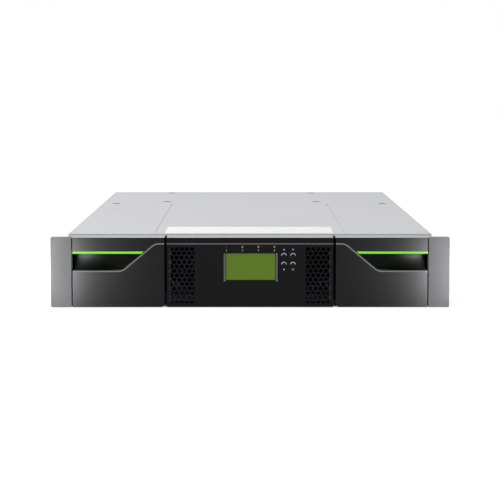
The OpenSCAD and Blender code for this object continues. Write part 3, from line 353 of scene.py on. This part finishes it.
# %% Make the display's material
display = glowing("display_glass", "#5f7d26", 0.3, "#546f1c")
tree = display.node_tree
shader = tree.nodes["Principled BSDF"]
DOT_MM = 1.2
flat_place = add(tree, "ShaderNodeCombineXYZ", {},
                 {"X": coordinate(tree, "X"), "Y": coordinate(tree, "Z")})
dots = add(tree, "ShaderNodeTexBrick",
           {"offset": 0.0, "Scale": 1 / (DOT_MM * MM), "Mortar Size": 0.08,
            "Brick Width": 1.0, "Row Height": 1.0,
            "Color1": [1, 1, 1, 1], "Color2": [1, 1, 1, 1], "Mortar": [0.8, 0.8, 0.8, 1]},
           {"Vector": flat_place.outputs["Vector"]})
lit = add(tree, "ShaderNodeMix", {"data_type": "RGBA", "blend_type": "MULTIPLY", 0: 1.0,
                                  6: linear("#5f7d26")},
          {7: dots.outputs["Color"]})
tree.links.new(lit.outputs[2], shader.inputs["Emission Color"])
tree.links.remove(shader.inputs["Roughness"].links[0])
shader.inputs["Roughness"].default_value = 0.15
shader.inputs["Specular IOR Level"].default_value = 0.12
MATERIALS["display_glass"] = display
print("display material has", len(tree.nodes), "nodes")

# %% [markdown]
# ## Dressing the CAD nodes
# A CAD node whose shape is right keeps it, and only its material slots are filled.

# %% Dress the CAD nodes
FINISH = {
    "brushed_zinc_sheet": ["top_cover", "chassis_tray"],
    "zinc_sheet": ["rear_panel", "rack_brackets", "power_supply_case", "drive_sled",
                   "controller_bracket", "partitions", "magazine_guides",
                   "robot_carriage", "lift_frame", "robot_rail", "lower_tape_drive",
                   "upper_tape_drive"],
    "painted_lintel": ["front_frame"],
    "textured_grey_abs": ["left_ear", "right_ear"],
    "satin_black_abs": ["centre_bezel", "left_magazine_front",
                        "right_magazine_front", "display_frame"],
    # The trims are painted highlights on the edge of the fronts' step, brighter on the
    # magazines and dimmer on the centre panel.
    "silver_trim": ["left_trim", "right_trim"],
    "dark_chrome": ["centre_trim"],
    "display_glass": ["display_glass"],
    "status_lens": ["status_lights"],
    "lime_light_guide": ["left_light_bar", "right_light_bar"],
    "solder_mask": ["panel_board", "controller_board"],
    "key_plastic": ["up_key", "down_key", "cancel_key", "enter_key"],
    "moulded_black": ["left_magazine_shell", "left_slot_walls", "right_magazine_shell",
                      "right_slot_walls", "picker_tray", "barcode_reader",
                      "fan_housing", "fan_rotor", "power_inlet", "power_switch",
                      "lower_drive_door", "upper_drive_door"],
    "gear_nylon": ["turntable", "robot_rack"],
    "orange_acetal": ["gripper"],
    "machined_brass": ["travel_pinion", "turn_pinion", "left_latch", "right_latch"],
    "motor_enamel": ["robot_motors", "lift_motor"],
    "ground_steel": ["lift_posts", "lift_screw"],
    "zinc_screw": ["cover_screws", "thumbscrews"],
    "nickel_shield": ["rear_ports"],
}
for finish, names in FINISH.items():
    for name in names:
        for place in NODES[name].material_slots:
            place.material = MATERIALS[finish]
left_out = set(NODES) - {n for names in FINISH.values() for n in names}
print("nodes without a finish:", sorted(left_out))

# %% [markdown]
# ## Rounded edges
# A CAD edge is perfectly sharp, and a sharp edge never catches the light. Moulded
# plastic has edges of about half a millimetre, and folded sheet has a bend. So the
# pieces that are seen from close by are copied, their loose triangles are merged
# into whole faces, and every sharp edge gets a small bevel.

# %% A helper for modelling in edit mode
def edit(piece, mode="EDGE"):
    """Makes piece the only selected one and opens it in edit mode."""
    if bpy.context.object and bpy.context.object.mode != "OBJECT":
        bpy.ops.object.mode_set(mode="OBJECT")
    bpy.ops.object.select_all(action="DESELECT")
    bpy.context.view_layer.objects.active = piece
    piece.select_set(True)
    bpy.ops.object.mode_set(mode="EDIT")
    bpy.ops.mesh.select_mode(type=mode)


def done(piece, smooth=35):
    """Closes edit mode and smooths the shading over shallow edges."""
    bpy.ops.object.mode_set(mode="OBJECT")
    bpy.ops.object.select_all(action="DESELECT")
    piece.select_set(True)
    bpy.context.view_layer.objects.active = piece
    bpy.ops.object.shade_smooth_by_angle(angle=math.radians(smooth))


def even_normals(piece):
    """Makes the large flat faces decide the shading, so that no bevel bends them."""
    piece.modifiers.new("normals", "WEIGHTED_NORMAL").keep_sharp = True
    bpy.ops.object.modifier_apply(modifier="normals")


def bevel(piece, width_mm, segments=2):
    """Rounds the sharp edges of a piece with a modifier, and applies it."""
    step = piece.modifiers.new("edge", "BEVEL")
    step.width = width_mm * MM
    step.segments = segments
    step.limit_method = "ANGLE"
    step.angle_limit = math.radians(30)
    step.use_clamp_overlap = True
    bpy.ops.object.select_all(action="DESELECT")
    piece.select_set(True)
    bpy.context.view_layer.objects.active = piece
    bpy.ops.object.modifier_apply(modifier="edge")


# %% Copy a CAD piece with rounded edges
def soften(name, body, finish, width_mm, segments=2):
    """Replaces a CAD node with a copy whose edges are rounded."""
    piece = bpy.data.objects.new(name + "_rounded", NODES[name].data.copy())
    bpy.context.scene.collection.objects.link(piece)
    edit(piece, "VERT")
    bpy.ops.mesh.select_all(action="SELECT")
    bpy.ops.mesh.remove_doubles(threshold=1e-6)
    bpy.ops.mesh.dissolve_limited(angle_limit=math.radians(0.5))
    bpy.ops.object.mode_set(mode="OBJECT")
    bevel(piece, width_mm, segments)
    done(piece)
    even_normals(piece)
    piece.data.materials.clear()
    piece.data.materials.append(MATERIALS[finish])
    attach(piece, body)
    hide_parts(name)
    print(name, "faces", len(piece.data.polygons))
    return piece


# %% Round the front's pieces
KEYS = ("up_key", "down_key", "cancel_key", "enter_key")
magazine_fronts = []
fronts = []
for side in ("left", "right"):
    fronts.append(soften(side + "_ear", "chassis",
                         "textured_grey_abs", 0.8, 3))
    magazine_fronts.append(soften(side + "_magazine_front", side + "_magazine",
                                  "satin_black_abs", 0.45, 2))
    fronts.append(soften(side + "_light_bar", side + "_magazine",
                         "lime_light_guide", 0.3, 2))
fronts += magazine_fronts + [NODES["left_trim"], NODES["right_trim"]]
soften("front_frame", "chassis", "painted_lintel", 0.35, 2)
cover = soften("top_cover", "chassis", "brushed_zinc_sheet", 0.5, 2)
for key in KEYS:
    soften(key, key, "key_plastic", 0.5, 3)

# %% [markdown]
# ## Painted shade in the hollows
# A finger scoop under an overhang sees almost none of the room, and the pressed
# dimples in the cover lie in shade, so both are painted darker as shade. Both belong
# to the piece around them, so their faces are picked by their place and given a
# second, darker material.

# %% Paint shade into the hollows
FACE_Y, SCOOP_BACK = -9.7, 30
SCOOP_BOTTOM, SCOOP_TOP = 45, 66.1
DIMPLES_FRONT, DIMPLES_BACK = 480, 755
DIMPLES_SIDE, DIMPLES_BOTTOM = 212, 86
LEVEL = 0.97  # a normal that points higher than this is flat cover


def dress_faces(piece, finish, inside):
    """Gives the faces whose centre and normal pass the test another material."""
    piece.data.materials.append(MATERIALS[finish])
    picked = [f for f in piece.data.polygons if inside(f.center / MM, f.normal)]
    for face in picked:
        face.material_index = len(piece.data.materials) - 1
    print(piece.name, "has", len(picked), "faces of", finish)


def in_scoop(centre, normal):
    """True for the hollow between a light bar and the trim line below it."""
    return FACE_Y < centre.y < SCOOP_BACK and SCOOP_BOTTOM < centre.z < SCOOP_TOP


def in_dimple(centre, normal):
    """True for the sloping ring of a pressed dimple in the cover."""
    along = DIMPLES_FRONT < centre.y < DIMPLES_BACK and abs(centre.x) < DIMPLES_SIDE
    return along and centre.z > DIMPLES_BOTTOM and normal.z < LEVEL


# The scoops are painted darker as shade.
for piece in magazine_fronts:
    dress_faces(piece, "black_abs_painted_shade", in_scoop)
# The dimples' sloping rings are painted darker as shade.
dress_faces(cover, "dimple_painted_shade", in_dimple)

# %% [markdown]
# ## Thin flat pieces
# The label, the display's side bars and the port contacts are thin plates with
# rounded corners. Each starts as a cube at its true size, and the edges along one
# axis are bevelled to round its outline.

# %% Helpers for a plate with rounded corners
def corners(name):
    """The lowest and the highest corner of a CAD node, in millimetres."""
    return [Vector(corner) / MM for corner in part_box(name)]


def place_in_mesh(piece):
    """Moves a piece's place, turn and size into its mesh."""
    bpy.ops.object.select_all(action="DESELECT")
    piece.select_set(True)
    bpy.context.view_layer.objects.active = piece
    bpy.ops.object.transform_apply(location=True, rotation=True, scale=True)


def plate(name, low_mm, high_mm, axis, round_mm, finish, body, segments=4):
    """A plate between two corners, with its edges along axis rounded."""
    low, high = Vector(low_mm) * MM, Vector(high_mm) * MM
    bpy.ops.object.select_all(action="DESELECT")
    bpy.ops.mesh.primitive_cube_add(size=1, location=(low + high) / 2)
    piece = bpy.context.object
    piece.name = name
    piece.scale = high - low
    place_in_mesh(piece)
    edit(piece)
    bpy.ops.mesh.select_all(action="DESELECT")
    bpy.ops.object.mode_set(mode="OBJECT")
    points = piece.data.vertices
    for edge in piece.data.edges:
        run = points[edge.vertices[0]].co - points[edge.vertices[1]].co
        edge.select = abs(run[axis]) > 0.99 * run.length
    bpy.ops.object.mode_set(mode="EDIT")
    bpy.ops.mesh.bevel(offset=round_mm * MM, segments=segments, affect="EDGES")
    done(piece, 30)
    piece.data.materials.append(MATERIALS[finish])
    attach(piece, body)
    return piece


# %% [markdown]
# ## Label and display bars
# A blank white label lies across the front of the cover. The display's frame has a
# dark chrome bar down each side of the glass, with a pale silver tip under it that is a
# painted glint.

# %% Make the label and the bars
LABEL_LEFT, LABEL_RIGHT = -105, 103
LABEL_FRONT, LABEL_BACK = 30, 117
BAR_WIDTH = 2.2

cover_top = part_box("top_cover")[1][2] / MM
plate("cover_label", (LABEL_LEFT, LABEL_FRONT, cover_top),
      (LABEL_RIGHT, LABEL_BACK, cover_top + 0.15), 2, 2.0,
      "label_paper", "chassis")
glass_low, glass_high = corners("display_glass")
frame_low, frame_high = corners("display_frame")
for name, start in (("left", frame_low.x + 0.6), ("right", glass_high.x + 0.7)):
    end = start + BAR_WIDTH
    plate("display_bar_" + name, (start, frame_low.y - 0.25, glass_low.z - 0.3),
          (end, frame_low.y + 0.4, glass_high.z + 0.3), 1, 0.6,
          "dark_chrome", "chassis")
    # A painted glint at the bar's lower end.
    plate("display_bar_glint_" + name, (start, frame_low.y - 0.3, glass_low.z - 1.5),
          (end, frame_low.y + 0.4, glass_low.z - 0.2), 1, 0.5,
          "silver_trim", "chassis")
print("label and bars on", round(cover_top, 2), "and", round(frame_low.y, 2))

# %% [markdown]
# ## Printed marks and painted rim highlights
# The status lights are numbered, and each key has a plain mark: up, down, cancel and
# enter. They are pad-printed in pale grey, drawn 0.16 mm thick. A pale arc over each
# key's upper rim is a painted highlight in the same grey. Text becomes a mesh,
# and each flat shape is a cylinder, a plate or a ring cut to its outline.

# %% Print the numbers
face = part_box("centre_bezel")[0][1]
PRINT = 0.08 * MM  # half the thickness of the print
NUMBER_Z = 69.2
NUMBER_SIZE = 3.3
LIGHT_WIDTH = 2.2


def printed(piece, body="chassis"):
    """Finishes a printed mark or a painted rim highlight: its place goes into its mesh, and
    it gets its pale grey.
    """
    place_in_mesh(piece)
    piece.data.materials.clear()
    piece.data.materials.append(MATERIALS["grey_print_and_rim_highlight"])
    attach(piece, body)


def number(text, x_mm, z_mm, size_mm):
    """A digit standing on the front face, as a thin mesh."""
    bpy.ops.object.select_all(action="DESELECT")
    bpy.ops.object.text_add(location=(x_mm * MM, face, z_mm * MM),
                            rotation=(math.radians(90), 0, 0))
    thing = bpy.context.object
    thing.name = "light_number_" + text
    thing.data.body = text
    thing.data.size = size_mm * MM
    thing.data.extrude = PRINT
    thing.data.align_x = "CENTER"
    bpy.ops.object.convert(target="MESH")
    printed(bpy.context.object)


lights_low, lights_high = corners("status_lights")
light_pitch = (lights_high.x - lights_low.x - LIGHT_WIDTH) / 3
for i in range(4):
    number(str(i + 1), lights_low.x + LIGHT_WIDTH / 2 + i * light_pitch, NUMBER_Z,
           NUMBER_SIZE)
print("numbers", light_pitch, "mm apart")


# %% Two helpers for the keys' marks
def triangle(name, x_mm, z_mm, radius_mm, turn=0):
    """A thin flat triangle, its rim softened."""
    bpy.ops.object.select_all(action="DESELECT")
    bpy.ops.mesh.primitive_cylinder_add(vertices=3, radius=radius_mm * MM,
                                        depth=2 * PRINT,
                                        location=(x_mm * MM, face, z_mm * MM),
                                        rotation=(math.radians(90), math.radians(turn), 0))
    piece = bpy.context.object
    piece.name = name
    printed(piece)
    bevel(piece, 0.03, 1)


def ring(name, x_mm, z_mm, radius_mm, wire_mm, depth, cut_mm=None, body="chassis"):
    """A thin ring, or only the part of it that is higher than cut_mm over its middle."""
    bpy.ops.object.select_all(action="DESELECT")
    bpy.ops.mesh.primitive_torus_add(major_radius=radius_mm * MM, minor_radius=wire_mm * MM,
                                     major_segments=48, minor_segments=8,
                                     location=(x_mm * MM, depth, z_mm * MM),
                                     rotation=(math.radians(90), 0, 0))
    piece = bpy.context.object
    piece.name = name
    printed(piece, body)
    if cut_mm is not None:
        edit(piece)
        bpy.ops.mesh.select_all(action="SELECT")
        bpy.ops.mesh.bisect(plane_co=(0, 0, (z_mm + cut_mm) * MM), plane_no=(0, 0, 1),
                            clear_inner=True, use_fill=True)
        done(piece, 40)

# %% Mark the keys
ARC_RADIUS = 2.9
ARC_WIRE = 0.42
ARC_CUT = 0.3
MARK_RADIUS = 1.3
MARK_BELOW = 0.9

for key in KEYS:
    low, high = corners(key)
    middle = (low + high) / 2
    # A painted highlight: a pale arc over the key's upper rim.
    ring(key + "_painted_rim_highlight", middle.x, middle.z, ARC_RADIUS, ARC_WIRE, low.y * MM, ARC_CUT, key)
    if key == "up_key":
        triangle("up_mark", middle.x, high.z + 2.4, MARK_RADIUS)
    elif key == "down_key":
        triangle("down_mark", middle.x, low.z - MARK_BELOW, MARK_RADIUS, 180)
    elif key == "cancel_key":
        for turn in (45, -45):
            bar = plate("cancel_mark", (middle.x - MARK_RADIUS, -PRINT / MM, -0.22),
                        (middle.x + MARK_RADIUS, PRINT / MM, 0.22), 1, 0.1,
                        "grey_print_and_rim_highlight", "chassis", 2)
            bar.rotation_euler = (0, math.radians(turn), 0)
            place_in_mesh(bar)
            centre = sum((v.co for v in bar.data.vertices), Vector()) / len(bar.data.vertices)
            bar.location = Vector((middle.x * MM, face, (high.z + 2.6) * MM)) - centre
            place_in_mesh(bar)
    else:
        ring("enter_mark", middle.x, low.z - MARK_BELOW, 1.1, 0.18, face)
print("marks on", len(KEYS), "keys")

# %% [markdown]
# ## Contacts at the back
# Sockets look empty without their contacts. The network port has eight gold springs
# 1.02 mm apart, the USB port a tongue with four contacts, and the mains inlet three
# nickel-plated pins.

# %% Fill the sockets at the back
SPRING_PITCH = 1.02
USB_PITCH = 2.3
PIN_ROOT, PIN_TIP = 746.5, 757
PINS = ((-7, -2), (7, -2), (0, 2.5))

ports_low, ports_high = corners("rear_ports")
network_x = ports_low.x + 8
usb_x = ports_high.x - 7
back = ports_high.y
for i in range(8):
    x = network_x + (i - 3.5) * SPRING_PITCH
    plate(f"network_contact_{i + 1}", (x - 0.17, back - 11, ports_low.z + 2.3),
          (x + 0.17, back - 3, ports_low.z + 2.7), 1, 0.08,
          "gold_contact", "chassis", 2)
plate("usb_tongue", (usb_x - 5.6, back - 12, ports_low.z + 3.9),
      (usb_x + 5.6, back - 1.5, ports_low.z + 5.7), 1, 0.3,
      "moulded_black", "chassis")
for i in range(4):
    x = usb_x + (i - 1.5) * USB_PITCH
    plate(f"usb_contact_{i + 1}", (x - 0.5, back - 10, ports_low.z + 3.7),
          (x + 0.5, back - 2.5, ports_low.z + 3.95), 1, 0.1,
          "gold_contact", "chassis", 2)
inlet_low, inlet_high = corners("power_inlet")
inlet_x = inlet_high.x - 16
inlet_z = (inlet_low.z + inlet_high.z) / 2
for i, (dx, dz) in enumerate(PINS):
    plate(f"inlet_pin_{i + 1}", (inlet_x + dx - 1.15, PIN_ROOT, inlet_z + dz - 2.15),
          (inlet_x + dx + 1.15, PIN_TIP, inlet_z + dz + 2.15), 1, 0.5,
          "nickel_shield", "chassis", 3)

# %% [markdown]
# ## Floor and light
# The floor and the world look white to the camera and in reflections by their own
# colour, and the lamps stay at a plain level. A lit floor under the library still
# takes its shadow.

# %% Make the floor
FLOOR_GLOW = 0.72

bpy.ops.object.select_all(action="DESELECT")
bpy.ops.mesh.primitive_plane_add(size=30, location=(0, 4, 0))
floor = bpy.context.object
floor.name = "floor"
floor_material = bpy.data.materials.new("pale_floor")
floor_material.use_nodes = True
tree = floor_material.node_tree
tree.nodes.clear()
level = add(tree, "ShaderNodeMath", {"operation": "MULTIPLY", 1: FLOOR_GLOW},
            {0: seen_directly(tree)})
glow = add(tree, "ShaderNodeEmission", {"Color": linear("#ffffff")},
           {"Strength": level.outputs[0]})
matt = add(tree, "ShaderNodeBsdfDiffuse", {"Color": linear("#c4c4c4")})
both = add(tree, "ShaderNodeAddShader", {}, {0: matt.outputs[0], 1: glow.outputs[0]})
add(tree, "ShaderNodeOutputMaterial", {}, {"Surface": both.outputs[0]})
floor.data.materials.append(floor_material)
print("floor", [round(size) for size in floor.dimensions], "m")

# %% Make the world
world = bpy.data.worlds.new("studio")
bpy.context.scene.world = world
world.use_nodes = True
tree = world.node_tree
tree.nodes.clear()
plain = add(tree, "ShaderNodeBackground", {"Color": linear("#ffffff"), "Strength": 0.52})
white = add(tree, "ShaderNodeBackground", {"Color": linear("#ffffff"), "Strength": 1.0})
both = add(tree, "ShaderNodeMixShader", {}, {0: seen_directly(tree), 1: plain.outputs[0],
                                             2: white.outputs[0]})
add(tree, "ShaderNodeOutputWorld", {}, {"Surface": both.outputs[0]})
print("world", world.name)

# %% [markdown]
# ## Lamps
# A large lamp stands high on the left and a weak one fills the front. Two small cards
# stand just in front of the ears. They give the black fronts the sheen that runs in
# from both sides, and nothing else: they show only in glossy reflections, and only on
# the ears, the magazine fronts, their trim and their light bars.

# %% Place the lamps
def lamp(name, place, target, size, power):
    """A soft rectangular lamp at place, turned to face target."""
    data = bpy.data.lights.new(name, "AREA")
    data.shape = "RECTANGLE"
    data.size, data.size_y = size
    data.energy = power
    thing = bpy.data.objects.new(name, data)
    bpy.context.scene.collection.objects.link(thing)
    thing.location = place
    aim = Vector(target) - Vector(place)
    thing.rotation_euler = aim.to_track_quat("-Z", "Y").to_euler()
    thing.visible_camera = False
    return thing


lamp("overhead", (-1.3, 0.0, 1.7), (0, 0.3, 0), (1.2, 1.2), 31)
lamp("front_fill", (0, -2.2, 1.2), (0, 0, 0.05), (1.6, 1.0), 10)
CARD_X, CARD_Y, CARD_Z = 0.248, -0.055, 0.043
CARD_SIZE = (0.03, 0.08)
CARD_POWER = 1.3
AIM_X = 0.21

front_pieces = bpy.data.collections.new("front_pieces")
for piece in fronts:
    front_pieces.objects.link(piece)
for side in (-1, 1):
    card = lamp("card", (side * CARD_X, CARD_Y, CARD_Z), (side * AIM_X, 0, CARD_Z),
                CARD_SIZE, CARD_POWER)
    card.visible_diffuse = False
    card.light_linking.receiver_collection = front_pieces
